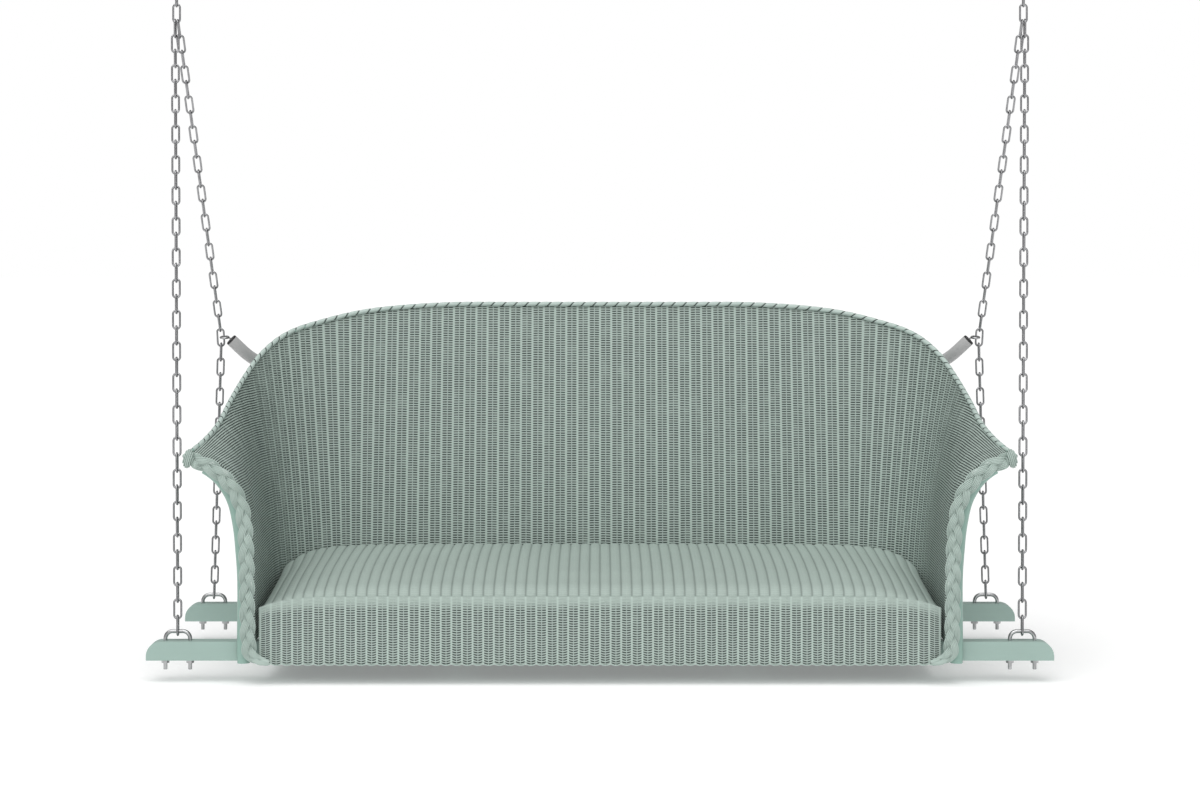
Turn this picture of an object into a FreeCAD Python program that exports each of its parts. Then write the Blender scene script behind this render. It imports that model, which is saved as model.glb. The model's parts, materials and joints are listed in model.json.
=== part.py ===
import FreeCAD, Part
import math
import os

os.makedirs("parts", exist_ok=True)

V = FreeCAD.Vector

# Hanging bench on two screw eyes and four chain runs.
# Frame: origin midway between the bars the top links swing on, +X to the sitter's left seen from the
# front, +Y towards the back, +Z up. The bench itself is drawn from its own datum, the middle of the
# front crossbar, and moved down and forwards at the end.

# Driving sizes, in millimetres
crossbar_length = 1720.0
crossbar_side = 36.0
crossbar_spacing = 500.0
crossbar_end_round = 28.0
hook_half_span = 845.0
bolt_half_span = 802.0
junction_rise = 1227.0

link_wire = 4.0
link_inner_length = 32.6
link_inner_width = 9.5
link_min_gap = 0.4
link_side_step = 2.8

eye_wire = 7.0
eye_ring_radius = 14.0
eye_flange_radius = 20.0
eye_flange_thick = 4.0
eye_shank_radius = 4.75
eye_shank_length = 62.0
eye_point_length = 8.0

u_bolt_wire = 7.5
u_bolt_leg_spacing = 47.0
u_bolt_crown_rise = 39.0
u_bolt_crown_radius = 14.0
u_bolt_tail = 37.0
nut_across_flats = 13.0
nut_height = 5.0
washer_radius = 8.0
washer_thick = 1.6

weave_thick = 5.0
wall_foot = 22.0
rim_tube_radius = 3.6
rim_wrap_thick = 1.3
post_radius = 12.0
braid_radius = 14.0
upright_radius = 8.0
upright_x = 270.0
corner_upright_station = 6.0

seat_half_width = 643.0
seat_front = -44.0
seat_inset = 9.0
pad_clearance = 2.0
braid_clearance = 2.2
seat_tube_radius = 11.0
seat_tube_height = 66.0
seat_tube_half_length = 638.0
front_tube_y = -21.2
rear_tube_y = 436.0
front_bracket_x = 600.0
rear_bracket_x = 460.0
rear_tube_half_length = 495.0
side_tube_radius = 9.0
side_tube_x = 632.0
side_tube_ends = (2.0, 250.0)
seat_rail_side = 28.0
seat_rail_x = 641.0
inner_rail_x = 275.0
tab_thick = 5.0
tab_width = 30.0
spring_count = 9
spring_wire = 3.5
spring_bend = 12.0
spring_width = 52.0
spring_step = 130.0
apron_thick = 4.0
apron_top = 100.0
apron_bottom = -21.0

stay_radius = 12.5
stay_wall = 1.6
stay_height = 495.0
stay_end = (-766.0, 508.0, 563.0)
stay_straight = 632.0
eye_neck_length = 6.0
eye_neck_radius = 2.0
plug_depth = 22.0
plug_head = 4.0
ring_radius = 8.0
ring_wire = 4.5
clamp_width = 24.0
clamp_thick = 2.5
clamp_ear = 16.0
screw_radius = 2.0
screw_head_radius = 4.2
screw_head_height = 2.4
screw_length = 16.0

weld_gap = 0.2
slip = 0.3
hole_clearance = 0.5
thread_clearance = 0.1

# Densities in kilograms per cubic millimetre, only used to hang the bench level
steel = 7.85e-6
timber = 0.6e-6
woven = 0.8e-6
padding = 0.3e-6
plastic = 1.1e-6

# Section of the woven wall at each station from the left arm's front edge to the middle of the back:
# foot, two shaping points and rim point. The right half mirrors it.
stations = [
    ((-650, -44, 22), (-650, -44, 250), (-650, -44, 378), (-784, -34, 370)),
    ((-650, 30, 22), (-650, 30, 240), (-655, 30, 385), (-757, 34, 394)),
    ((-650, 110, 22), (-652, 112, 230), (-664, 115, 372), (-741, 122, 420)),
    ((-649, 200, 22), (-652, 205, 220), (-672, 215, 365), (-731, 225, 458)),
    ((-645, 280, 22), (-650, 290, 220), (-680, 310, 370), (-716, 335, 500)),
    ((-630, 345, 22), (-638, 358, 225), (-667, 385, 385), (-692, 408, 541)),
    ((-600, 397, 22), (-610, 412, 230), (-633, 440, 400), (-650, 468, 577)),
    ((-555, 432, 22), (-562, 448, 230), (-577, 480, 410), (-588, 510, 600)),
    ((-480, 450, 22), (-480, 468, 230), (-480, 503, 420), (-480, 542, 624)),
    ((-330, 458, 22), (-330, 476, 230), (-330, 515, 425), (-330, 556, 636)),
    ((-165, 460, 22), (-165, 478, 230), (-165, 518, 427), (-165, 560, 637)),
    ((0, 460, 22), (0, 478, 230), (0, 519, 427), (0, 561, 637)),
]
middle = len(stations) - 1
panel_gap = 0.006
arm_stations = 6

# Seat crown: height of the middle of the seat at each distance back, and of its two sides
crown_line = [(-60, 84), (-44, 100), (-34, 117), (-10, 129), (60, 141), (160, 148),
              (280, 151), (380, 150), (440, 147), (480, 146)]
side_line = [(-60, 82), (-44, 92), (-34, 94), (-10, 95), (60, 96), (160, 98),
             (280, 103), (380, 115), (440, 133), (480, 138)]

# Front of the arm, left side, as (x, z): the line the braid follows and the post's own line
braid_line = [(-772, 366), (-750, 357), (-726, 344), (-700, 319), (-679, 287), (-669, 246),
              (-664.5, 195), (-663.5, 150), (-663, 90), (-662, 44), (-660, 12), (-653, -6),
              (-641, -8), (-628, -8)]
post_line = [(-746, 348.5), (-732, 339.5), (-718, 327), (-706, 311.5), (-696, 294), (-689, 275),
             (-684, 252), (-680, 227), (-677, 195), (-674.5, 164), (-673, 100), (-673, -20)]


def to_left(point):
    return V(-point.x, point.y, point.z)


def station(index):
    if index <= middle:
        return [V(*p) for p in stations[index]]
    return [to_left(V(*p)) for p in stations[2 * middle - index]]


def blend(points, v):
    a, b, c, d = points
    u = 1.0 - v
    return a * (u * u * u) + b * (3 * u * u * v) + c * (3 * u * v * v) + d * (v * v * v)


def wall_section(index):
    foot, low, high, rim = station(index)
    wrap = rim_tube_radius + rim_wrap_thick + weld_gap
    inwards = (high - rim).normalize()
    return [foot, low, high, rim + inwards * wrap]


def section_between(position):
    low = int(math.floor(position))
    share = position - low
    first = wall_section(low)
    second = wall_section(min(low + 1, 2 * middle))
    return [a * (1.0 - share) + b * share for a, b in zip(first, second)]


def smooth(points):
    curve = Part.BSplineCurve()
    curve.interpolate(points)
    return curve.toShape()


def pipe(path, radius, start=None, hollow=0.0):
    edges = path if isinstance(path, list) else [path]
    wire = Part.Wire(Part.__sortEdges__(edges))
    first = wire.OrderedEdges[0]
    at = first.valueAt(first.FirstParameter)
    along = first.tangentAt(first.FirstParameter)
    if start is not None and (at - start).Length > 1.0:
        at = first.valueAt(first.LastParameter)
        along = first.tangentAt(first.LastParameter)
    ring = Part.Wire(Part.makeCircle(radius, at, along))
    solid = wire.makePipeShell([ring], True, False)
    if hollow > 0.0:
        bore = Part.Wire(Part.makeCircle(hollow, at, along))
        solid = solid.cut(wire.makePipeShell([bore], True, False))
    return solid


def bar(start, end, radius, hollow=0.0):
    along = end - start
    solid = Part.makeCylinder(radius, along.Length, start, along)
    if hollow > 0.0:
        solid = solid.cut(Part.makeCylinder(hollow, along.Length, start, along))
    return solid


def block(x0, x1, y0, y1, z0, z1):
    return Part.makeBox(x1 - x0, y1 - y0, z1 - z0, V(x0, y0, z0))


def mirrored(shape):
    return shape.mirror(V(0, 0, 0), V(1, 0, 0))


def wall_panel(first, last):
    rows = []
    for index in range(first, last + 1):
        position = float(index)
        if index == first and first > 0:
            position += panel_gap
        if index == last and last < 2 * middle:
            position -= panel_gap
        section = section_between(position)
        rows.append([blend(section, step / 8.0) for step in range(9)])
    surface = Part.BSplineSurface()
    surface.interpolate(rows)
    face = surface.toShape()
    return face.makeOffsetShape(weave_thick, 0.01, fill=True)


def rim_path():
    count = 2 * middle + 1
    return smooth([station(index)[3] for index in range(count)])


def post_front():
    return -crossbar_side / 2 - weld_gap - 2 * post_radius


def wrap_points(line, y):
    return [V(x, y, z) for x, z in line]


def arm_post():
    y = -crossbar_side / 2 - post_radius - weld_gap
    return pipe(smooth(wrap_points(post_line, y)), post_radius, hollow=post_radius - 1.6)


def arm_braid():
    return pipe(smooth(wrap_points(braid_line, post_front() - braid_clearance - braid_radius)), braid_radius)


def wall_normal(position, v):
    step = 0.02
    across = blend(section_between(min(position + step, 2 * middle)), v)
    across = across - blend(section_between(position - step), v)
    up = blend(section_between(position), v + step) - blend(section_between(position), v - step)
    normal = up.cross(across).normalize()
    return normal


def back_upright(position, first_v):
    reach = weave_thick + upright_radius + 2.0
    x = blend(section_between(position), 0.0).x
    foot = crossbar_side / 2 + weld_gap
    points = [V(x, crossbar_spacing - upright_radius, foot - upright_radius)]
    for v in (first_v, 0.45, 0.6, 0.75, 0.9):
        outwards = wall_normal(position, v)
        if outwards.y < 0:
            outwards = outwards * -1.0
        points.append(blend(section_between(position), v) + outwards * reach)
    below = block(x - 50.0, x + 50.0, 0.0, 2 * crossbar_spacing, -crossbar_side, foot)
    return pipe(smooth(points), upright_radius).cut(below)


def position_of(x):
    for index in range(middle):
        low = stations[index][0][0]
        high = stations[index + 1][0][0]
        if low <= -x <= high and index >= arm_stations:
            return index + (-x - low) / (high - low)
    return float(middle)


def crossbar(y):
    half = crossbar_length / 2
    side = crossbar_side / 2
    r = crossbar_end_round
    bend = r * (1.0 - math.sqrt(0.5))
    front = y - side
    corners = [V(-half, front, -side), V(half, front, -side), V(half, front, side - r),
               V(half - r, front, side), V(r - half, front, side), V(-half, front, side - r)]
    right = Part.Arc(corners[2], V(half - bend, front, side - bend), corners[3]).toShape()
    left = Part.Arc(corners[4], V(bend - half, front, side - bend), corners[5]).toShape()
    edges = [Part.makeLine(corners[0], corners[1]), Part.makeLine(corners[1], corners[2]), right,
             Part.makeLine(corners[3], corners[4]), left, Part.makeLine(corners[5], corners[0])]
    shape = Part.Face(Part.Wire(edges)).extrude(V(0, crossbar_side, 0))
    radius = (u_bolt_wire + hole_clearance) / 2
    holes = []
    for x, leg_y in leg_places():
        if leg_y == y:
            holes.append(Part.makeCylinder(radius, 2 * crossbar_side, V(x, y, -crossbar_side)))
    return shape.cut(holes)


def u_bolt(x, y):
    half = u_bolt_leg_spacing / 2
    top = u_bolt_crown_rise - u_bolt_wire / 2
    r = u_bolt_crown_radius
    low = V(x - half, y, -u_bolt_tail)
    edges = [Part.makeLine(low, V(x - half, y, top - r))]
    bend = r * (1.0 - math.sqrt(0.5))
    arc = Part.Arc(V(x - half, y, top - r), V(x - half + bend, y, top - bend), V(x - half + r, y, top))
    edges.append(arc.toShape())
    edges.append(Part.makeLine(V(x - half + r, y, top), V(x + half - r, y, top)))
    arc = Part.Arc(V(x + half - r, y, top), V(x + half - bend, y, top - bend), V(x + half, y, top - r))
    edges.append(arc.toShape())
    edges.append(Part.makeLine(V(x + half, y, top - r), V(x + half, y, -u_bolt_tail)))
    wire = Part.Wire(edges)
    ring = Part.Wire(Part.makeCircle(u_bolt_wire / 2, low, V(0, 0, 1)))
    return wire.makePipeShell([ring], True, False)


def hexagon(across, height, base):
    reach = across / math.sqrt(3.0)
    points = []
    for step in range(7):
        turn = math.radians(60 * step)
        points.append(base + V(reach * math.cos(turn), reach * math.sin(turn), 0))
    return Part.Face(Part.makePolygon(points)).extrude(V(0, 0, height))


def leg_places():
    for y in (0.0, crossbar_spacing):
        for side_of in (-1, 1):
            for leg in (-1, 1):
                yield side_of * bolt_half_span + leg * u_bolt_leg_spacing / 2, y


def washers():
    top = -crossbar_side / 2
    bore = u_bolt_wire / 2 + hole_clearance / 2
    rings = []
    for x, y in leg_places():
        base = V(x, y, top - washer_thick)
        disc = Part.makeCylinder(washer_radius, washer_thick - 0.02, base)
        rings.append(disc.cut(Part.makeCylinder(bore, washer_thick, base)))
    return Part.makeCompound(rings)


def nuts():
    top = -crossbar_side / 2 - washer_thick
    bore = u_bolt_wire / 2 + thread_clearance
    bodies = []
    for x, y in leg_places():
        base = V(x, y, top - nut_height - 0.02)
        body = hexagon(nut_across_flats, nut_height, base)
        bodies.append(body.cut(Part.makeCylinder(bore, nut_height, base)))
    return Part.makeCompound(bodies)


def seat_cross_tube(y, half):
    height = seat_tube_height
    return bar(V(-half, y, height), V(half, y, height), seat_tube_radius)


def seat_front_tube():
    return seat_cross_tube(front_tube_y, seat_tube_half_length)


def seat_rear_tube():
    return seat_cross_tube(rear_tube_y, rear_tube_half_length)


def bracket_places(outer):
    inner = 1.5 * spring_step
    return (-outer, -inner, inner, outer)


def seat_brackets_front():
    face = -crossbar_side / 2 - weld_gap
    top = seat_tube_height - seat_tube_radius - weld_gap
    tabs = []
    for x in bracket_places(front_bracket_x):
        tabs.append(block(x - tab_width / 2, x + tab_width / 2, face - tab_thick, face, -15.0, top))
    return Part.makeCompound(tabs)


def seat_brackets_rear():
    back = crossbar_spacing - crossbar_side / 2 - weld_gap
    top = seat_tube_height - seat_tube_radius - weld_gap
    low = crossbar_side / 2 - 2 * tab_thick
    side = rear_tube_y - tab_thick / 2
    tabs = []
    for x in bracket_places(rear_bracket_x):
        left = x - tab_width / 2
        right = x + tab_width / 2
        riser = block(left, right, side, side + tab_thick, low, top)
        foot = block(left, right, side, back, low, low + tab_thick)
        tabs.append(riser.fuse(foot).removeSplitter())
    return Part.makeCompound(tabs)


def seat_side_tube():
    y0, y1 = side_tube_ends
    x = -side_tube_x
    shape = bar(V(x, y0, seat_tube_height), V(x, y1, seat_tube_height), side_tube_radius)
    foot = seat_rail_side / 2 + weld_gap
    for y in (40.0, 220.0):
        tab = block(x - tab_thick / 2, x + tab_thick / 2, y - 15.0, y + 15.0, foot, seat_tube_height)
        shape = shape.fuse(tab)
    return shape.removeSplitter()


def seat_rail(x):
    half = seat_rail_side / 2
    front = crossbar_side / 2 + weld_gap
    back = crossbar_spacing - crossbar_side / 2 - weld_gap
    return block(x - half, x + half, front, back, -half, half)


def seat_spring(x):
    height = seat_tube_height + seat_tube_radius - spring_wire / 2 - 1.0
    front = front_tube_y + seat_tube_radius + spring_wire / 2 + 1.5
    back = rear_tube_y - seat_tube_radius - spring_wire / 2 - 1.5
    turns = int((back - front) / (2 * spring_bend))
    bend = (back - front) / (2 * turns)
    reach = spring_width / 2 - bend
    edges = []
    for turn in range(turns + 1):
        y = front + 2 * bend * turn
        way = 1.0 if turn % 2 == 0 else -1.0
        edges.append(Part.makeLine(V(x - way * reach, y, height), V(x + way * reach, y, height)))
        if turn < turns:
            tip = V(x + way * (reach + bend), y + bend, height)
            arc = Part.Arc(V(x + way * reach, y, height), tip, V(x + way * reach, y + 2 * bend, height))
            edges.append(arc.toShape())
    start = V(x - reach, front, height)
    ring = Part.Wire(Part.makeCircle(spring_wire / 2, start, V(1, 0, 0)))
    return Part.Wire(edges).makePipeShell([ring], True, False)


def seat_springs():
    first = -(spring_count - 1) / 2 * spring_step
    return Part.makeCompound([seat_spring(first + spring_step * n) for n in range(spring_count)])


def spring_clips():
    rings = []
    first = -(spring_count - 1) / 2 * spring_step
    for y, half in ((front_tube_y, seat_tube_half_length), (rear_tube_y, rear_tube_half_length)):
        for n in range(spring_count):
            x = first + spring_step * n
            if abs(x) < half:
                start = V(x - 6.0, y, seat_tube_height)
                clip = bar(start, start + V(12.0, 0, 0), seat_tube_radius + 1.2, seat_tube_radius + 0.1)
                rings.append(clip)
    return Part.makeCompound(rings)


def height_on(line, y):
    for (y0, z0), (y1, z1) in zip(line, line[1:]):
        if y <= y1:
            return z0 + (z1 - z0) * (y - y0) / (y1 - y0)
    return line[-1][1]


def seat_outline():
    inset = seat_inset
    points = [V(-seat_half_width, seat_front, 0), V(-seat_half_width, 120, 0)]
    for position in (3.0, 4.0, 5.0, 6.0, 7.0, 8.0, 9.0, 10.0, 11.0):
        at = blend(wall_section(int(position)), 0.08)
        towards = V(-at.x, 120.0 - at.y, 0)
        if position >= 8.0:
            towards = V(0, -1, 0)
        points.append(V(at.x, at.y, 0) + towards.normalize() * inset)
    left = smooth(points[1:])
    right = mirrored(left)
    front = Part.makeLine(V(-seat_half_width, seat_front, 0), V(seat_half_width, seat_front, 0))
    sides = [Part.makeLine(points[0], points[1]), Part.makeLine(to_left(points[0]), to_left(points[1]))]
    return Part.Wire(Part.__sortEdges__([left, right, front] + sides))


def seat_pad():
    rows = []
    for y, _ in crown_line:
        row = []
        for step in range(-8, 9):
            x = step * 82.0
            share = abs(step / 7.87) ** 4
            share = min(share, 1.0)
            z = height_on(crown_line, y) * (1 - share) + height_on(side_line, y) * share
            row.append(V(x, y, z))
        rows.append(row)
    top = Part.BSplineSurface()
    top.interpolate(rows)
    crown = top.toShape().extrude(V(0, 0, -140))
    column = Part.Face(seat_outline()).extrude(V(0, 0, 200))
    column.translate(V(0, 0, seat_tube_height + seat_tube_radius + pad_clearance))
    return crown.common(column)


def front_apron():
    half = seat_half_width
    back = seat_front - weld_gap + apron_thick
    shape = block(-half, half, back - apron_thick, back, apron_bottom, apron_top - 24.0)
    return shape


def stay_path():
    y = stay_depth()
    end = V(*stay_end)
    swing = y - end.y
    points = [V(-stay_straight, y, stay_height),
              V(-stay_straight - 50.0, y - 0.2 * swing, stay_height + 7.0),
              V(-stay_straight - 98.0, y - 0.72 * swing, stay_height + 33.0), end]
    left = Part.BSplineCurve()
    away = V(-36.0, -8.0, 35.0)
    left.interpolate(Points=points, InitialTangent=V(-1, 0, 0) * 60.0, FinalTangent=away)
    left = left.toShape()
    straight = Part.makeLine(points[0], to_left(points[0]))
    return left, straight, mirrored(left)


def stay_depth():
    v = 0.5
    section = section_between(position_of(upright_x))
    top = stay_height + stay_radius + clamp_thick + clamp_ear
    for step in range(60):
        v = 0.4 + step / 100.0
        if blend(section, v).z >= top:
            break
    centre = blend(section, v) + V(0, 1, 0) * (weave_thick + upright_radius + 2.0)
    return centre.y + upright_radius + stay_radius + slip + 1.6


def back_stay():
    left, straight, right = stay_path()
    end = V(*stay_end)
    along = left.tangentAt(left.LastParameter)
    wire = Part.Wire(Part.__sortEdges__([left, straight, right]))
    outer = Part.Wire(Part.makeCircle(stay_radius, end, along))
    inner = Part.Wire(Part.makeCircle(stay_radius - stay_wall, end, along))
    return wire.makePipeShell([outer], True, False).cut(wire.makePipeShell([inner], True, False))


def stay_end_direction():
    left = stay_path()[0]
    along = left.tangentAt(left.LastParameter)
    if along.x > 0:
        along = along * -1.0
    return along.normalize()


def stay_plug():
    along = stay_end_direction()
    end = V(*stay_end)
    inside = stay_radius - stay_wall - 0.9
    stem = Part.makeCylinder(inside, plug_depth, end - along * (plug_depth - plug_head / 2), along)
    head = Part.makeCylinder(stay_radius - 0.3, plug_head, end + along * 0.05, along)
    head = head.makeFillet(2.2, [head.Edges[0]])
    return stem.fuse(head).removeSplitter()


def eye_foot():
    return V(*stay_end) + stay_end_direction() * (plug_head + weld_gap)


# The eye's ring stands square to the chain, so one side of the held link passes through it
def eye_frame(chain_way):
    along = stay_end_direction()
    outwards = (along - chain_way * along.dot(chain_way)).normalize()
    near = eye_foot() + along * eye_neck_length
    return near + outwards * ring_radius, outwards


def chain_ring(chain_way):
    centre, _ = eye_frame(chain_way)
    ring = Part.makeTorus(ring_radius, ring_wire / 2, centre, chain_way)
    neck = Part.makeCylinder(eye_neck_radius, eye_neck_length, eye_foot(), stay_end_direction())
    return ring.fuse(neck).removeSplitter()


def saddle_clamp(side_of):
    y = stay_depth()
    x = side_of * upright_x
    inner = stay_radius + 0.3
    outer = inner + clamp_thick
    left = V(x - clamp_width / 2, y, stay_height)
    strap = bar(left, left + V(clamp_width, 0, 0), outer, inner)
    back_half = block(x - clamp_width, x + clamp_width, y, y + 2 * outer, stay_height - 2 * outer,
                      stay_height + 2 * outer)
    strap = strap.common(back_half)
    front = y - stay_radius - slip - 0.4
    for way in (-1, 1):
        z = stay_height + way * (inner + clamp_thick / 2)
        low = min(z - clamp_thick / 2, z + clamp_thick / 2)
        strap = strap.fuse(block(x - clamp_width / 2, x + clamp_width / 2, front, y, low, low + clamp_thick))
        start = stay_height + way * inner
        reach = start + way * clamp_ear
        ear = block(x - clamp_width / 2, x + clamp_width / 2, front, front + clamp_thick,
                    min(start, reach), max(start, reach))
        strap = strap.fuse(ear)
        hole = Part.makeCylinder(screw_radius + 0.2, 30.0, V(x, front - 10.0, screw_height(way)), V(0, 1, 0))
        strap = strap.cut(hole)
    return strap.removeSplitter()


def screw_height(way):
    return stay_height + way * (stay_radius + clamp_thick + clamp_ear / 2 + 2.0)


def clamp_screws():
    y = stay_depth() - stay_radius - slip - 0.4 + clamp_thick + 0.05
    screws = []
    for side_of in (-1, 1):
        for way in (-1, 1):
            at = V(side_of * upright_x, y, screw_height(way))
            head = Part.makeCylinder(screw_head_radius, screw_head_height, at, V(0, 1, 0))
            head = head.makeFillet(1.2, [e for e in head.Edges if e.Vertexes[0].Point.y > at.y + 1.0][:1])
            shank = Part.makeCylinder(screw_radius, screw_length, at - V(0, screw_length, 0), V(0, 1, 0))
            screws.append(head.fuse(shank).removeSplitter())
    return screws


def drilled(shape, screws):
    for screw in screws:
        box = screw.BoundBox
        centre = V((box.XMin + box.XMax) / 2, box.YMin - 1.0, (box.ZMin + box.ZMax) / 2)
        shape = shape.cut(Part.makeCylinder(screw_radius + 0.2, screw_length + 2.0, centre, V(0, 1, 0)))
    return shape


def plain_link():
    reach = link_inner_width / 2 + link_wire / 2
    half = link_inner_length / 2 - link_inner_width / 2
    big = 4 * reach
    shape = None
    for way in (-1, 1):
        ring = Part.makeTorus(reach, link_wire / 2, V(0, 0, way * half), V(0, 1, 0))
        keep = block(-big, big, -big, big, half, half + big)
        if way < 0:
            keep = block(-big, big, -big, big, -half - big, -half)
        bow = ring.common(keep)
        side = Part.makeCylinder(link_wire / 2, 2 * half, V(way * reach, 0, -half))
        shape = bow.fuse(side) if shape is None else shape.fuse([bow, side])
    return shape.removeSplitter()


def placed_link(link, centre, along, wide):
    up = V(along).normalize()
    wide = (wide - up * wide.dot(up)).normalize()
    out = up.cross(wide)
    matrix = FreeCAD.Matrix(wide.x, out.x, up.x, centre.x,
                            wide.y, out.y, up.y, centre.y,
                            wide.z, out.z, up.z, centre.z,
                            0, 0, 0, 1)
    copy = link.copy()
    copy.Placement = FreeCAD.Placement(matrix)
    return copy


def chain_run(link, top, bottom, top_radius, bottom_radius, odd, first_flat):
    span = (top - bottom).Length
    count = 1 if odd else 2
    while True:
        spare = count * link_inner_length - top_radius - bottom_radius - span
        gap = spare / (count + 1)
        if gap >= link_min_gap:
            break
        count += 2
    down = (bottom - top).normalize()
    pitch = link_inner_length - gap
    centre = top + down * (link_inner_length / 2 - top_radius - gap)
    links = []
    flat = first_flat
    for n in range(count):
        links.append(placed_link(link, centre, down * -1.0, V(1, 0, 0) if flat else V(0, 1, 0)))
        centre = centre + down * pitch
        flat = not flat
    return Part.makeCompound(links)


def hook_pieces(side_of):
    x = side_of * hook_half_span
    wire = eye_wire / 2
    ring = Part.makeTorus(eye_ring_radius, wire, V(x, 0, eye_ring_radius), V(0, 1, 0))
    neck_base = 2 * eye_ring_radius
    flange = neck_base + wire + 5.0
    neck = Part.makeCylinder(eye_shank_radius, flange - neck_base, V(x, 0, neck_base))
    plate = Part.makeCylinder(eye_flange_radius, eye_flange_thick, V(x, 0, flange))
    top = flange + eye_flange_thick
    shank = Part.makeCylinder(eye_shank_radius, eye_shank_length, V(x, 0, top))
    point = Part.makeCone(eye_shank_radius, 1.0, eye_point_length, V(x, 0, top + eye_shank_length))
    return ring.fuse([neck, plate, shank, point]).removeSplitter()


def weight(shape, density):
    mass = 0.0
    moment = V(0, 0, 0)
    for solid in shape.Solids:
        mass += solid.Volume * density
        moment += solid.CenterOfMass * (solid.Volume * density)
    return mass, moment


def bench():
    pieces = {}
    pieces["front_crossbar"] = (crossbar(0.0), timber)
    pieces["rear_crossbar"] = (crossbar(crossbar_spacing), timber)
    pieces["seat_side_rail_left"] = (seat_rail(-seat_rail_x), timber)
    pieces["seat_side_rail_right"] = (seat_rail(seat_rail_x), timber)
    pieces["seat_inner_rail_left"] = (seat_rail(-inner_rail_x), timber)
    pieces["seat_inner_rail_right"] = (seat_rail(inner_rail_x), timber)
    pieces["seat_front_tube"] = (seat_front_tube(), steel)
    pieces["seat_rear_tube"] = (seat_rear_tube(), steel)
    pieces["seat_brackets_front"] = (seat_brackets_front(), steel)
    pieces["seat_brackets_rear"] = (seat_brackets_rear(), steel)
    pieces["seat_side_tube_left"] = (seat_side_tube(), steel)
    pieces["seat_side_tube_right"] = (mirrored(seat_side_tube()), steel)
    pieces["seat_springs"] = (seat_springs(), steel)
    pieces["spring_clips"] = (spring_clips(), plastic)
    pieces["seat_pad"] = (seat_pad(), padding)
    pieces["front_apron"] = (front_apron(), woven)
    last = 2 * middle
    rim_room = pipe(rim_path(), rim_tube_radius + rim_wrap_thick + weld_gap)
    pieces["woven_arm_left"] = (wall_panel(0, arm_stations).cut(rim_room), woven)
    pieces["woven_back"] = (wall_panel(arm_stations, last - arm_stations).cut(rim_room), woven)
    pieces["woven_arm_right"] = (wall_panel(last - arm_stations, last).cut(rim_room), woven)
    pieces["rim_tube"] = (pipe(rim_path(), rim_tube_radius), steel)
    wrap = pipe(rim_path(), rim_tube_radius + rim_wrap_thick, hollow=rim_tube_radius + 0.05)
    pieces["rim_wrap"] = (wrap, woven)
    pieces["arm_post_left"] = (arm_post(), steel)
    pieces["arm_post_right"] = (mirrored(arm_post()), steel)
    pieces["arm_braid_left"] = (arm_braid(), woven)
    pieces["arm_braid_right"] = (mirrored(arm_braid()), woven)
    screws = clamp_screws()
    upright = drilled(back_upright(position_of(upright_x), 0.25), screws)
    corner = back_upright(corner_upright_station, 0.35)
    pieces["back_upright_left"] = (upright, steel)
    pieces["back_upright_right"] = (mirrored(upright), steel)
    pieces["corner_upright_left"] = (corner, steel)
    pieces["corner_upright_right"] = (mirrored(corner), steel)
    pieces["back_stay"] = (back_stay(), steel)
    pieces["stay_clamp_left"] = (saddle_clamp(-1), steel)
    pieces["stay_clamp_right"] = (saddle_clamp(1), steel)
    pieces["clamp_screws"] = (Part.makeCompound(screws), steel)
    pieces["stay_plug_left"] = (stay_plug(), plastic)
    pieces["stay_plug_right"] = (mirrored(stay_plug()), plastic)
    for name, side_of in (("left", -1), ("right", 1)):
        pieces["u_bolt_front_" + name] = (u_bolt(side_of * bolt_half_span, 0.0), steel)
        pieces["u_bolt_rear_" + name] = (u_bolt(side_of * bolt_half_span, crossbar_spacing), steel)
    pieces["u_bolt_washers"] = (washers(), steel)
    pieces["u_bolt_nuts"] = (nuts(), steel)
    return pieces


def held_place(high, low):
    at = eye_foot()
    along = V(0, 0, 1)
    for _ in range(4):
        along = ((high - at).normalize() + (at - low).normalize()).normalize()
        centre, outwards = eye_frame(along)
        at = centre + outwards * ring_radius
    return at, along, outwards


def left_chains(hang_y):
    link = plain_link()
    half = link_inner_length / 2
    wire = link_wire / 2
    gap = link_min_gap
    junction = V(-hook_half_span, hang_y, junction_rise)
    top = junction + V(0, 0, link_inner_length - gap)
    pieces = {}
    pieces["top_link_left"] = placed_link(link, top, V(0, 0, 1), V(0, 1, 0))
    pieces["junction_link_left"] = placed_link(link, junction, V(0, 0, 1), V(1, 0, 0))
    reach = link_inner_width / 2 + wire
    sag = reach - math.sqrt(reach * reach - link_side_step * link_side_step)
    bow = junction - V(0, 0, half + wire - sag)
    crown = u_bolt_crown_rise - u_bolt_wire / 2
    front_bolt = V(-bolt_half_span, 0.0, crown)
    rear_bolt = V(-bolt_half_span, crossbar_spacing, crown)
    held, along, outwards = held_place(bow, rear_bolt)
    pieces["front_chain_left"] = chain_run(link, bow - V(link_side_step, 0, 0), front_bolt,
                                           wire, u_bolt_wire / 2, True, False)
    start = bow + V(link_side_step, 0, 0)
    pieces["chain_ring_left"] = chain_ring(along)
    pieces["held_link_left"] = placed_link(link, held, along, outwards)
    upper = held + along * (half + wire)
    lower = held - along * (half + wire)
    pieces["rear_chain_upper_left"] = chain_run(link, start, upper, wire, wire, True, False)
    pieces["rear_chain_lower_left"] = chain_run(link, lower, rear_bolt, wire, u_bolt_wire / 2, True, False)
    return pieces


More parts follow.
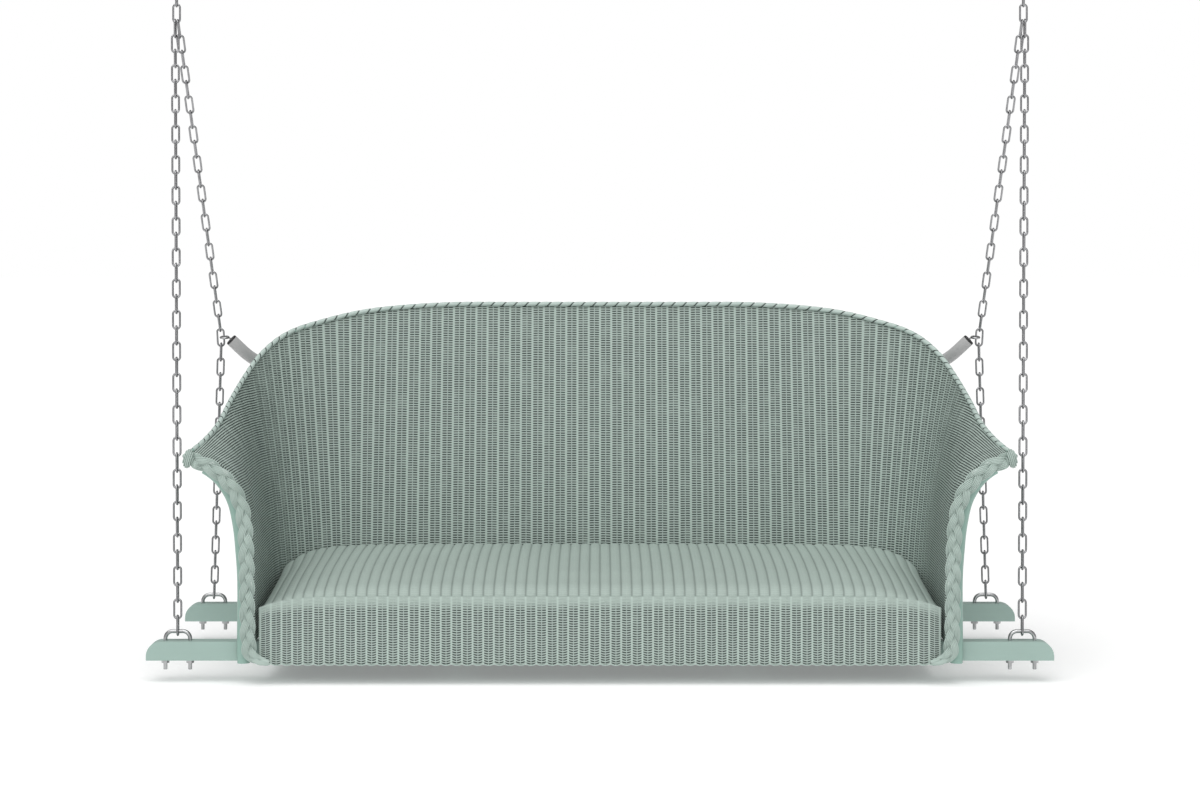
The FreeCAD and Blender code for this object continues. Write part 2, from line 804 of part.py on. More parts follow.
def hang_depth(pieces):
    mass = 0.0
    moment = V(0, 0, 0)
    for shape, density in pieces.values():
        part_mass, part_moment = weight(shape, density)
        mass += part_mass
        moment += part_moment
    hang_y = moment.y / mass
    for _ in range(3):
        chain_mass = 0.0
        chain_moment = 0.0
        for shape in left_chains(hang_y).values():
            part_mass, part_moment = weight(shape, steel)
            chain_mass += 2 * part_mass
            chain_moment += 2 * part_moment.y
        hang_y = (moment.y + chain_moment) / (mass + chain_mass)
    return hang_y


pieces = bench()
hang_y = hang_depth(pieces)
top_link_rise = junction_rise + link_inner_length - link_min_gap
pivot_rise = top_link_rise + link_inner_length / 2 - eye_wire / 2 - link_min_gap
shift = V(0, -hang_y, -pivot_rise)
shapes = {name: shape for name, (shape, density) in pieces.items()}
for name, shape in left_chains(hang_y).items():
    shapes[name] = shape
    shapes[name.replace("left", "right")] = mirrored(shape)
for name, shape in shapes.items():
    moved = shape.copy()
    moved.translate(shift)
    moved.exportStep("parts/" + name + ".step")
hook_pieces(-1).exportStep("parts/ceiling_eye_left.step")
hook_pieces(1).exportStep("parts/ceiling_eye_right.step")
print("hang", round(hang_y, 2), "pivot", round(pivot_rise, 2), "pieces", len(shapes) + 2)
for name, shape in shapes.items():
    if not shape.isValid():
        print("not valid", name)
    print(name, shape.ShapeType, len(shape.Solids), round(shape.Volume / 1000.0, 1))
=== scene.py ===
import bpy
import bmesh
import json
import math
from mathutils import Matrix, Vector


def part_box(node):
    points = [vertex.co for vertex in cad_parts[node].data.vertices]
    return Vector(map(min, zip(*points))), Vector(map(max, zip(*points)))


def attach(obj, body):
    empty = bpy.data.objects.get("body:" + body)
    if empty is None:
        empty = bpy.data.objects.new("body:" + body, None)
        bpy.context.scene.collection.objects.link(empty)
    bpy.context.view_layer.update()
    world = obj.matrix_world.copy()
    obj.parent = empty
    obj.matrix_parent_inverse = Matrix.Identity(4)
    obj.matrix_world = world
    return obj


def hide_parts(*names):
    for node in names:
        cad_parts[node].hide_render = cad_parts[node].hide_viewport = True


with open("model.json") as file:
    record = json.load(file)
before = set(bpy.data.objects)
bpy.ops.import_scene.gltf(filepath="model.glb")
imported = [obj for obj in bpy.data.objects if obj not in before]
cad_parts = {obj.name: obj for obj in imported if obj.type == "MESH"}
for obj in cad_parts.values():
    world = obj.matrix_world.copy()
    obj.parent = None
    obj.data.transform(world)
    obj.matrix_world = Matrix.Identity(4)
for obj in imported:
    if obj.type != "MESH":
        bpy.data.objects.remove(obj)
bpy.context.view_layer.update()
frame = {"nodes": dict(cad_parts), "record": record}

mm = 0.001
barLow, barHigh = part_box("front_crossbar")
datum = Vector((0.0, (barLow.y + barHigh.y) / 2, (barLow.z + barHigh.z) / 2))  # middle of the front crossbar
bench = "hanging_bench"


def onBench(x, y, z):
    return datum + Vector((x, y, z)) * mm  # millimetres from the front crossbar's middle


cameraSetup = {"distance": 5.300, "height": 0.841, "lens": 83.7, "shiftY": -0.1617}


def makeCamera(s):
    data = bpy.data.cameras.new("studioCamera")
    data.lens = s["lens"]
    data.sensor_width = 36.0
    data.sensor_fit = "HORIZONTAL"
    data.shift_y = s["shiftY"]
    data.clip_end = 200.0
    camera = bpy.data.objects.new("studioCamera", data)
    camera.location = datum + Vector((0.0, -s["distance"], s["height"]))
    camera.rotation_euler = (math.pi / 2, 0.0, 0.0)
    bpy.context.scene.collection.objects.link(camera)
    bpy.context.scene.camera = camera


studio = {"floorDrop": 0.060, "floorSize": 60.0, "floorColor": (0.86, 0.86, 0.86, 1.0), "floorGlow": 0.2,
          "floorRough": 0.9, "backdrop": 1.0, "ambient": 0.36,
          "sun": {"strength": 2.25, "angle": 70.0, "tiltFront": 24.0, "tiltSide": -8.0},
          "fill": {"place": (0.0, -4.6, 1.9), "aim": (0.0, 0.2, 0.2), "size": 2.4, "power": 38.0}}
white = (1.0, 1.0, 1.0, 1.0)


def makeFloor(s):
    mesh = bpy.data.meshes.new("studioFloor")
    bm = bmesh.new()
    bmesh.ops.create_grid(bm, x_segments=1, y_segments=1, size=s["floorSize"] / 2)
    bmesh.ops.translate(bm, verts=bm.verts, vec=datum + Vector((0, 0, -s["floorDrop"])))
    bm.to_mesh(mesh)
    bm.free()
    floor = bpy.data.objects.new("studioFloor", mesh)
    bpy.context.scene.collection.objects.link(floor)
    paper = bpy.data.materials.new("floorPaper")
    paper.use_nodes = True
    shader = paper.node_tree.nodes["Principled BSDF"]
    shader.inputs["Base Color"].default_value = s["floorColor"]
    shader.inputs["Emission Color"].default_value = white
    shader.inputs["Emission Strength"].default_value = s["floorGlow"]
    shader.inputs["Roughness"].default_value = s["floorRough"]
    floor.data.materials.append(paper)


def makeSky(s):
    world = bpy.data.worlds.new("studioWorld")
    world.use_nodes = True
    tree = world.node_tree
    seen = tree.nodes.new("ShaderNodeLightPath").outputs["Is Camera Ray"]
    strength = tree.nodes.new("ShaderNodeMapRange")
    strength.inputs["To Min"].default_value = s["ambient"]
    strength.inputs["To Max"].default_value = s["backdrop"]
    tree.links.new(seen, strength.inputs["Value"])
    tree.links.new(strength.outputs["Result"], tree.nodes["Background"].inputs["Strength"])
    tree.nodes["Background"].inputs["Color"].default_value = white
    bpy.context.scene.world = world


def makeLamps(s):
    sun = bpy.data.lights.new("studioSun", "SUN")
    sun.energy = s["sun"]["strength"]
    sun.angle = math.radians(s["sun"]["angle"])
    sunLamp = bpy.data.objects.new("studioSun", sun)
    sunLamp.rotation_euler = (math.radians(s["sun"]["tiltFront"]), math.radians(s["sun"]["tiltSide"]), 0.0)
    fill = bpy.data.lights.new("studioFill", "AREA")
    fill.size = s["fill"]["size"]
    fill.energy = s["fill"]["power"]
    fillLamp = bpy.data.objects.new("studioFill", fill)
    fillLamp.location = datum + Vector(s["fill"]["place"])
    aim = datum + Vector(s["fill"]["aim"]) - fillLamp.location
    fillLamp.rotation_euler = aim.to_track_quat("-Z", "Y").to_euler()
    for lamp in (sunLamp, fillLamp):
        bpy.context.scene.collection.objects.link(lamp)


makeCamera(cameraSetup)
makeFloor(studio)
makeSky(studio)
makeLamps(studio)
bpy.context.scene.view_settings.view_transform = "Standard"
print("camera and studio ready")


def maths(tree, operation, *values):
    node = tree.nodes.new("ShaderNodeMath")
    node.operation = operation
    for socket, value in zip(node.inputs, values):
        if isinstance(value, (int, float)):
            socket.default_value = value
        else:
            tree.links.new(value, socket)
    return node.outputs[0]


def flip(tree, value):
    return maths(tree, "SUBTRACT", 1.0, value)


def ramp01(tree, value, low, high):
    node = tree.nodes.new("ShaderNodeMapRange")
    node.interpolation_type = "SMOOTHSTEP"
    node.inputs["From Min"].default_value = low
    node.inputs["From Max"].default_value = high
    tree.links.new(value, node.inputs["Value"])
    return node.outputs["Result"]


def noiseOf(tree, vector, scale, detail=3.0, roughness=0.6):
    node = tree.nodes.new("ShaderNodeTexNoise")
    node.inputs["Scale"].default_value = scale
    node.inputs["Detail"].default_value = detail
    node.inputs["Roughness"].default_value = roughness
    tree.links.new(vector, node.inputs["Vector"])
    return node.outputs["Fac"]


def stretched(tree, vector, scale):
    node = tree.nodes.new("ShaderNodeVectorMath")
    node.operation = "MULTIPLY"
    tree.links.new(vector, node.inputs[0])
    node.inputs[1].default_value = scale
    return node.outputs[0]


# Inputs 0, 6 and 7 of a colour mix are its factor and its two colours.
def mixColor(tree, factor, a, b, blendType="MIX"):
    node = tree.nodes.new("ShaderNodeMix")
    node.data_type = "RGBA"
    node.blend_type = blendType
    for socket, value in ((node.inputs[0], factor), (node.inputs[6], a), (node.inputs[7], b)):
        if isinstance(value, (int, float)):
            socket.default_value = value
        elif isinstance(value, tuple):
            socket.default_value = (*value, 1.0)
        else:
            tree.links.new(value, socket)
    return node.outputs[2]


def bumpOf(tree, height, strength, distance, normal=None):
    node = tree.nodes.new("ShaderNodeBump")
    node.inputs["Strength"].default_value = strength
    node.inputs["Distance"].default_value = distance
    tree.links.new(height, node.inputs["Height"])
    if normal is not None:
        tree.links.new(normal, node.inputs["Normal"])
    return node.outputs["Normal"]


def newGroup(name, inputs, outputs):
    group = bpy.data.node_groups.new(name, "ShaderNodeTree")
    for label, kind, value in inputs:
        socket = group.interface.new_socket(label, in_out="INPUT", socket_type=kind)
        if value is not None:
            socket.default_value = value
    for label, kind in outputs:
        group.interface.new_socket(label, in_out="OUTPUT", socket_type=kind)
    return group, group.nodes.new("NodeGroupInput"), group.nodes.new("NodeGroupOutput")


def splitUv(tree):
    uv = tree.nodes.new("ShaderNodeUVMap")
    uv.uv_map = "UVMap"
    split = tree.nodes.new("ShaderNodeSeparateXYZ")
    tree.links.new(uv.outputs[0], split.inputs[0])
    return uv.outputs[0], split.outputs[0], split.outputs[1]


def newMaterial(name):
    mat = bpy.data.materials.new(name)
    mat.use_nodes = True
    return mat, mat.node_tree, mat.node_tree.nodes["Principled BSDF"]


def placeGroup(tree, group, **values):
    node = tree.nodes.new("ShaderNodeGroup")
    node.node_tree = group
    for label, value in values.items():
        socket = node.inputs[label]
        if isinstance(value, (int, float)):
            socket.default_value = value
        else:
            tree.links.new(value, socket)
    return node


# Plain weave on the piece's own UV map: one unit across is a stake, one unit up is a row of cord.
def makeLoomGroup():
    group, gin, gout = newGroup("loomWeave",
                                [("Vector", "NodeSocketVector", None), ("Openness", "NodeSocketFloat", 0.6),
                                 ("Aligned", "NodeSocketFloat", 0.0)],
                                [("GapShadeMask", "NodeSocketFloat"), ("Tone", "NodeSocketFloat"),
                                 ("Height", "NodeSocketFloat")])
    split = group.nodes.new("ShaderNodeSeparateXYZ")
    group.links.new(gin.outputs["Vector"], split.inputs[0])
    across, up = split.outputs[0], split.outputs[1]
    wander = noiseOf(group, stretched(group, gin.outputs["Vector"], (0.45, 0.03, 1.0)), 1.0, 2.0)
    drift = maths(group, "MULTIPLY", maths(group, "SUBTRACT", wander, 0.5), 1.1)  # rows rise and fall
    up = maths(group, "ADD", up, drift)
    stake = maths(group, "FLOOR", across)
    row = maths(group, "FLOOR", up)
    inStake = maths(group, "ABSOLUTE", maths(group, "SUBTRACT", maths(group, "SUBTRACT", across, stake), 0.5))
    rowPhase = maths(group, "SUBTRACT", up, row)
    inRow = maths(group, "ABSOLUTE", maths(group, "MULTIPLY_ADD", rowPhase, 2.0, -1.0))
    # In every other cell the cord passes behind the stake, and gaps show on both sides of the stake.
    # The 4000 keeps the sum above zero.
    under = maths(group, "MODULO", maths(group, "ADD", maths(group, "ADD", stake, row), 4000.0), 2.0)
    bulge = flip(group, maths(group, "MULTIPLY", inRow, inRow))
    sides = maths(group, "MULTIPLY", ramp01(group, inStake, 0.02, 0.07),
                  flip(group, ramp01(group, inStake, 0.36, 0.45)))
    loose = maths(group, "MULTIPLY", maths(group, "MULTIPLY", under, sides),
                  flip(group, ramp01(group, inRow, 0.7, 1.0)))
    # On the arms a line of gap shows in every two rows instead.
    pairPhase = maths(group, "FRACT", maths(group, "MULTIPLY", up, 0.5))
    pair = maths(group, "ABSOLUTE", maths(group, "SUBTRACT", pairPhase, 0.5))
    line = flip(group, ramp01(group, pair, 0.16, 0.30))
    aligned = gin.outputs["Aligned"]
    slot = maths(group, "ADD", maths(group, "MULTIPLY", loose, flip(group, aligned)),
                 maths(group, "MULTIPLY", line, aligned))
    # The gaps are wider in tall patches, and each one varies a little too.
    patches = noiseOf(group, stretched(group, gin.outputs["Vector"], (0.9, 0.035, 1.0)), 1.3, 3.0)
    single = noiseOf(group, stretched(group, gin.outputs["Vector"], (1.1, 0.55, 1.0)), 1.0, 1.0)
    uneven = maths(group, "MULTIPLY_ADD", patches, 1.3, maths(group, "MULTIPLY", single, 0.7))
    openness = maths(group, "MULTIPLY", gin.outputs["Openness"], uneven)
    # The gap mask marks where the cord colour gives way to painted shade, standing in for the dark behind the
    # weave.
    shadeInGaps = maths(group, "MINIMUM", maths(group, "MULTIPLY", slot, openness), 1.0)
    # Tone darkens the seams between rows as painted shade and lightens the cord midway between stakes as
    # painted light.
    seamShading = maths(group, "MULTIPLY", ramp01(group, inRow, 0.62, 1.0),
                 flip(group, ramp01(group, inStake, 0.34, 0.5)))
    midwayHighlight = ramp01(group, inStake, 0.36, 0.48)
    tone = maths(group, "SUBTRACT", maths(group, "ADD", 0.92, maths(group, "MULTIPLY", midwayHighlight, 0.10)),
                 maths(group, "MULTIPLY", seamShading, 0.16))
    wave = maths(group, "COSINE", maths(group, "MULTIPLY", inStake, math.pi))
    side = flip(group, maths(group, "MULTIPLY", under, 2.0))
    weft = maths(group, "MULTIPLY_ADD", maths(group, "MULTIPLY", side, wave), 0.5, 0.5)
    post = maths(group, "MULTIPLY", flip(group, ramp01(group, inStake, 0.04, 0.10)),
                 maths(group, "MULTIPLY", under, 0.45))
    height = maths(group, "ADD", maths(group, "MULTIPLY", weft, bulge), post)
    group.links.new(shadeInGaps, gout.inputs["GapShadeMask"])
    group.links.new(tone, gout.inputs["Tone"])
    group.links.new(height, gout.inputs["Height"])
    return group


# Paint with faint orange peel and soft stains. Grain brings up the lines of the wood under it.
def makePaintGroup():
    group, gin, gout = newGroup("paintWear",
                                [("Vector", "NodeSocketVector", None), ("Grain", "NodeSocketFloat", 1.0)],
                                [("Tone", "NodeSocketFloat"), ("Rough", "NodeSocketFloat"),
                                 ("Height", "NodeSocketFloat")])
    cloud = noiseOf(group, gin.outputs["Vector"], 9.0, 4.0)
    fine = noiseOf(group, gin.outputs["Vector"], 620.0, 2.0)
    streak = noiseOf(group, stretched(group, gin.outputs["Vector"], (6.0, 140.0, 140.0)), 1.0, 3.0)
    tone = maths(group, "ADD", maths(group, "MULTIPLY", cloud, 0.14), maths(group, "MULTIPLY", streak, 0.07))
    group.links.new(maths(group, "ADD", tone, 0.895), gout.inputs["Tone"])
    group.links.new(maths(group, "MULTIPLY_ADD", cloud, 0.25, 0.30), gout.inputs["Rough"])
    fibres = maths(group, "MULTIPLY", maths(group, "MULTIPLY", streak, 2.0), gin.outputs["Grain"])
    group.links.new(maths(group, "ADD", fine, fibres), gout.inputs["Height"])
    return group


loomGroup = makeLoomGroup()
paintGroup = makePaintGroup()


def wovenMaterial(name, light, dark, openness, relief, closing=None, arms=None, seamLightToShade=None):
    mat, tree, shader = newMaterial(name)
    uv, across, up = splitUv(tree)
    if closing is not None:  # the weave pulls shut over the rows between the first two values
        shut = ramp01(tree, up, closing[0], closing[1])
        openness = maths(tree, "MULTIPLY_ADD", shut, closing[2] - openness, openness)
    aligned = 0.0
    if arms is not None:  # on the arms the rows line up from stake to stake
        fromMiddle = maths(tree, "ABSOLUTE", maths(tree, "SUBTRACT", across, arms[0]))
        aligned = ramp01(tree, fromMiddle, arms[1], arms[2])
    weave = placeGroup(tree, loomGroup, Vector=uv, Openness=openness, Aligned=aligned)
    place = tree.nodes.new("ShaderNodeTexCoord").outputs["Object"]
    stain = noiseOf(tree, place, 5.0, 3.0)
    # The weave's Tone carries painted shade and painted light on the cords; the stain noise is real staining.
    tone = maths(tree, "MULTIPLY", weave.outputs["Tone"], maths(tree, "MULTIPLY_ADD", stain, 0.16, 0.92))
    cord = mixColor(tree, 1.0, light, tone, "MULTIPLY")
    # the gaps in the weave are painted dark as shade
    color = mixColor(tree, weave.outputs["GapShadeMask"], cord, dark)
    if seamLightToShade is not None:  # painted highlight lines on the nosing turn into painted shade in the channels on the crown
        offset = maths(tree, "ABSOLUTE", maths(tree, "SUBTRACT", maths(tree, "FRACT", across), 0.5))
        seamShading = ramp01(tree, offset, 0.35, 0.48)
        # depth is a painted tone: above one on the nosing as painted highlight, below one on the crown as
        # painted shade.
        depth = maths(tree, "MULTIPLY_ADD", ramp01(tree, up, seamLightToShade[0], seamLightToShade[1]), -0.62, 1.16)
        color = mixColor(tree, seamShading, color, mixColor(tree, 1.0, color, depth, "MULTIPLY"))
    tree.links.new(color, shader.inputs["Base Color"])
    tree.links.new(maths(tree, "MULTIPLY_ADD", stain, 0.2, 0.52), shader.inputs["Roughness"])
    fibre = noiseOf(tree, place, 900.0, 2.0)
    rough = bumpOf(tree, fibre, 0.25, 0.0004)
    tree.links.new(bumpOf(tree, weave.outputs["Height"], relief, 0.0011, rough), shader.inputs["Normal"])
    shader.inputs["Specular IOR Level"].default_value = 0.32
    return mat


def paintMaterial(name, color, grain=0.0):
    mat, tree, shader = newMaterial(name)
    place = tree.nodes.new("ShaderNodeTexCoord").outputs["Object"]
    paint = placeGroup(tree, paintGroup, Vector=place, Grain=grain)
    tree.links.new(mixColor(tree, 1.0, color, paint.outputs["Tone"], "MULTIPLY"), shader.inputs["Base Color"])
    tree.links.new(paint.outputs["Rough"], shader.inputs["Roughness"])
    tree.links.new(bumpOf(tree, paint.outputs["Height"], 0.12, 0.0004), shader.inputs["Normal"])
    return mat


def cordMaterial(name, light, dark):
    mat, tree, shader = newMaterial(name)
    place = tree.nodes.new("ShaderNodeTexCoord").outputs["Object"]
    cloud = noiseOf(tree, place, 14.0, 4.0)
    fibre = noiseOf(tree, place, 700.0, 3.0)
    tree.links.new(mixColor(tree, ramp01(tree, cloud, 0.2, 0.8), dark, light), shader.inputs["Base Color"])
    tree.links.new(maths(tree, "MULTIPLY_ADD", fibre, 0.3, 0.42), shader.inputs["Roughness"])
    tree.links.new(bumpOf(tree, fibre, 0.3, 0.0005), shader.inputs["Normal"])
    shader.inputs["Specular IOR Level"].default_value = 0.35
    return mat


def steelMaterial(name, color, rough):
    mat, tree, shader = newMaterial(name)
    place = tree.nodes.new("ShaderNodeTexCoord").outputs["Object"]
    cloud = noiseOf(tree, place, 60.0, 4.0)
    fine = noiseOf(tree, place, 1500.0, 2.0)
    tree.links.new(mixColor(tree, ramp01(tree, cloud, 0.35, 0.75), color, tuple(c * 0.72 for c in color)),
                   shader.inputs["Base Color"])
    tree.links.new(maths(tree, "MULTIPLY_ADD", cloud, 0.25, rough), shader.inputs["Roughness"])
    tree.links.new(bumpOf(tree, fine, 0.05, 0.0002), shader.inputs["Normal"])
    shader.inputs["Metallic"].default_value = 1.0
    return mat


# The binding's cord turns round the rim, so whole numbers across its UV map are the slits between turns.
def rimMaterial(name, light, dark, shadeInGaps):
    mat, tree, shader = newMaterial(name)
    uv, across, _ = splitUv(tree)
    phase = maths(tree, "FRACT", maths(tree, "ADD", across, 5000.0))  # the 5000 keeps it above zero
    near = maths(tree, "MINIMUM", phase, flip(tree, phase))
    # The slits between turns are painted dark as shade.
    slit = flip(tree, ramp01(tree, near, 0.03, 0.12))
    fibre = noiseOf(tree, stretched(tree, uv, (26.0, 4.0, 1.0)), 1.0, 2.0)
    tree.links.new(mixColor(tree, slit, mixColor(tree, fibre, dark, light), shadeInGaps), shader.inputs["Base Color"])
    tree.links.new(maths(tree, "MULTIPLY_ADD", fibre, 0.2, 0.5), shader.inputs["Roughness"])
    tree.links.new(bumpOf(tree, fibre, 0.4, 0.0006), shader.inputs["Normal"])
    return mat


cordGreen = (0.405, 0.490, 0.447)
# gapShadeColor is painted shade for the gaps in the weave
gapShadeColor = (0.022, 0.032, 0.028)
finishes = {
    "wall_weave": wovenMaterial("wallWeave", cordGreen, gapShadeColor, 1.0, 0.75, arms=(50.0, 29.0, 36.0)),
    # the seat's second colour is painted shade in its few gaps
    "seat_weave": wovenMaterial("seatWeave", (0.400, 0.482, 0.440), (0.10, 0.13, 0.12), 0.10, 0.45,
                                seamLightToShade=(7.0, 14.0)),
    "apron": wovenMaterial("apronWeave", cordGreen, gapShadeColor, 1.20, 0.75, closing=(41.0, 52.0, 0.06)),
    # the rim's last colour is painted shade in the slits between turns
    "rim": rimMaterial("rimCord", (0.48, 0.57, 0.53), (0.40, 0.49, 0.45), (0.020, 0.032, 0.028)),
    "braid": cordMaterial("braidCord", (0.440, 0.530, 0.488), (0.370, 0.455, 0.415)),
    "frame_wood": paintMaterial("crossbarPaint", (0.315, 0.430, 0.388), grain=1.0),
    "frame_paint": paintMaterial("postPaint", (0.270, 0.415, 0.360)),
    "stay_metal": paintMaterial("stayPaint", (0.430, 0.430, 0.430)),
    "plug_plastic": paintMaterial("plugPlastic", (0.012, 0.012, 0.013)),
    "clip_plastic": paintMaterial("clipPlastic", (0.020, 0.020, 0.020)),
    "spring_steel": steelMaterial("springSteel", (0.42, 0.42, 0.43), 0.30),
    "bright_steel": steelMaterial("boltSteel", (0.46, 0.465, 0.47), 0.16),
    "chain_steel": steelMaterial("chainSteel", (0.36, 0.36, 0.37), 0.16),
}
slotOf = {row["node"]: row["material_slot"] for row in frame["record"]["subparts"]}
for node in frame["nodes"]:
    piece = bpy.data.objects[node]
    for slot in piece.material_slots:
        slot.material = finishes[slotOf[node]]
print("materials ready")


def addPiece(name, mesh, material):
    piece = bpy.data.objects.new(name, mesh)
    bpy.context.scene.collection.objects.link(piece)
    mesh.materials.clear()
    mesh.materials.append(material)
    for face in mesh.polygons:
        face.use_smooth = True
    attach(piece, bench)
    return piece


# A smooth curve through the values, read at a position counted in values.
def between(values, position):
    last = len(values) - 1
    position = min(max(position, 0.0), float(last))
    i = min(int(position), last - 1)
    t = position - i
    a, b, c, d = values[max(i - 1, 0)], values[i], values[i + 1], values[min(i + 2, last)]
    bend = (a * 2 - b * 5 + c * 4 - d) * t * t + (b * 3 - a - c * 3 + d) * t ** 3
    return (b * 2 + (c - a) * t + bend) * 0.5


# A flat grid that is bent onto a surface: place gives the point, and uvOf the UV, at shares a and b.
def bentGrid(across, up, place, uvOf):
    bm = bmesh.new()
    bmesh.ops.create_grid(bm, x_segments=across, y_segments=up, size=1.0)
    layer = bm.loops.layers.uv.new("UVMap")
    marks = {v: ((v.co.x + 1) / 2, (v.co.y + 1) / 2) for v in bm.verts}
    for face in bm.faces:
        for loop in face.loops:
            loop[layer].uv = uvOf(*marks[loop.vert])
    for v, (a, b) in marks.items():
        v.co = place(a, b)
    return bm


def toMesh(bm, name):
    mesh = bpy.data.meshes.new(name)
    bm.to_mesh(mesh)
    bm.free()
    return mesh


def cordMesh(name, runs, radius, sides=1):
    curve = bpy.data.curves.new(name, "CURVE")
    curve.dimensions = "3D"
    curve.bevel_depth = radius
    curve.bevel_resolution = sides
    curve.use_fill_caps = True
    for run in runs:
        spline = curve.splines.new("POLY")
        spline.points.add(len(run) - 1)
        for point, at in zip(spline.points, run):
            point.co = (*at, 1.0)
    shown = bpy.data.objects.new(name, curve)
    bpy.context.scene.collection.objects.link(shown)
    bpy.context.view_layer.update()
    mesh = bpy.data.meshes.new_from_object(shown.evaluated_get(bpy.context.evaluated_depsgraph_get()))
    bpy.data.objects.remove(shown)
    bpy.data.curves.remove(curve)
    mesh.name = name
    return mesh


wall = {"stakePitch": 23.6, "rowPitch": 2.5, "thickness": 5.0, "perStake": 4, "up": 56, "samples": 600,
        "riseSteps": 24, "evenAt": 0.55, "topShare": 0.995,
        # foot, two shaping points and rim of each section, from the left arm's front edge to mid back
        "sections": [((-650, -44, 22), (-650, -44, 250), (-650, -44, 378), (-784, -34, 370)),
                     ((-650, 30, 22), (-650, 30, 240), (-655, 30, 385), (-757, 34, 394)),
                     ((-650, 110, 22), (-652, 112, 230), (-664, 115, 372), (-741, 122, 420)),
                     ((-649, 200, 22), (-652, 205, 220), (-672, 215, 365), (-731, 225, 458)),
                     ((-645, 280, 22), (-650, 290, 220), (-680, 310, 370), (-716, 335, 500)),
                     ((-630, 345, 22), (-638, 358, 225), (-667, 385, 385), (-692, 408, 541)),
                     ((-600, 397, 22), (-610, 412, 230), (-633, 440, 400), (-650, 468, 577)),
                     ((-555, 432, 22), (-562, 448, 230), (-577, 480, 410), (-588, 510, 600)),
                     ((-480, 450, 22), (-480, 468, 230), (-480, 503, 420), (-480, 542, 624)),
                     ((-330, 458, 22), (-330, 476, 230), (-330, 515, 425), (-330, 556, 636)),
                     ((-165, 460, 22), (-165, 478, 230), (-165, 518, 427), (-165, 560, 637)),
                     ((0, 460, 22), (0, 478, 230), (0, 519, 427), (0, 561, 637))]}
leftHalf = [[Vector(p) for p in section] for section in wall["sections"]]
rightHalf = [[Vector((-p.x, p.y, p.z)) for p in section] for section in reversed(leftHalf[:-1])]
sectionLines = [[section[k] for section in leftHalf + rightHalf] for k in range(4)]
lastSection = len(sectionLines[0]) - 1


def wallPoint(position, v):
    a, b, c, d = (between(line, position) for line in sectionLines)
    u = 1.0 - v
    return a * u ** 3 + b * 3 * u * u * v + c * 3 * u * v * v + d * v ** 3


# Running length along a chain of points, and the share of the chain at which a length is reached.
def lengthTable(points):
    table = [0.0]
    for first, second in zip(points, points[1:]):
        table.append(table[-1] + (second - first).length)
    return table


def lookUp(table, value):
    low, high = 0, len(table) - 1
    while high - low > 1:
        middle = (low + high) // 2
        if table[middle] <= value:
            low = middle
        else:
            high = middle
    span = table[high] - table[low]
    return (low + (value - table[low]) / span) / (len(table) - 1)


stops = [lastSection * i / wall["samples"] for i in range(wall["samples"] + 1)]
evenLine = [wallPoint(stop, wall["evenAt"]) for stop in stops]
along = lengthTable(evenLine)  # the stakes stand evenly at this height
stakeCount = 2 * round(along[-1] / wall["stakePitch"] / 2)
stations = {}


def sectionAt(a):
    key = round(a, 6)
    if key not in stations:
        position = lookUp(along, along[-1] * a) * lastSection if 0.0 < a < 1.0 else lastSection * a
        steps = wall["riseSteps"]
        rise = lengthTable([wallPoint(position, k / steps) for k in range(steps + 1)])
        stations[key] = (position, rise)
    return stations[key]


def wallPlace(a, b):
    position, rise = sectionAt(a)
    v = lookUp(rise, rise[-1] * b * wall["topShare"]) if b > 0.0 else 0.0
    return onBench(*wallPoint(position, v))


def wallUv(a, b):
    position, rise = sectionAt(a)
    return (a * stakeCount, rise[-1] * b / wall["rowPitch"])


def makeWall():
    bm = bentGrid(stakeCount * wall["perStake"], wall["up"], wallPlace, wallUv)
    piece = addPiece("wovenWall", toMesh(bm, "wovenWall"), finishes["wall_weave"])
    shell = piece.modifiers.new("thickness", "SOLIDIFY")
    shell.thickness = wall["thickness"] * mm
    shell.offset = -1.0
    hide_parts("woven_arm_left", "woven_back", "woven_arm_right")


makeWall()
print("woven wall ready", stakeCount, "stakes")


rim = {"radius": 4.5, "groove": 0.8, "swell": 0.5, "turnPitch": 23.6, "around": 18, "perTurn": 12,
       "grooveShare": 0.16, "lookAhead": 0.02}


def makeRim():
    reach = lengthTable([between(sectionLines[3], stop) for stop in stops])
    turns = round(reach[-1] / rim["turnPitch"])

    def place(a, b):
        share = lookUp(reach, reach[-1] * a) if 0.0 < a < 1.0 else a
        position = share * lastSection
        centre = between(sectionLines[3], position)
        step = rim["lookAhead"]
        ahead = between(sectionLines[3], position + step) - between(sectionLines[3], position - step)
        ahead.normalize()
        side = ahead.cross(Vector((0, 0, 1))).normalized()
        top = side.cross(ahead).normalized()
        angle = 2 * math.pi * b
        phase = (b - a * turns) % 1.0
        dip = max(0.0, 1.0 - min(phase, 1.0 - phase) / rim["grooveShare"])
        swell = rim["swell"] * math.sin(math.pi * phase)
        r = rim["radius"] + swell - rim["groove"] * dip * dip
        return onBench(*(centre + side * (math.cos(angle) * r) + top * (math.sin(angle) * r)))

    def uvOf(a, b):
        return (b - a * turns, a * turns)

    bm = bentGrid(turns * rim["perTurn"], rim["around"], place, uvOf)
    bmesh.ops.remove_doubles(bm, verts=bm.verts, dist=1e-6)
    bmesh.ops.holes_fill(bm, edges=[e for e in bm.edges if e.is_boundary], sides=rim["around"] + 2)
    bmesh.ops.recalc_face_normals(bm, faces=bm.faces)
    piece = addPiece("rimBinding", toMesh(bm, "rimBinding"), finishes["rim"])
    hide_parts("rim_wrap")


makeRim()
print("rim ready")


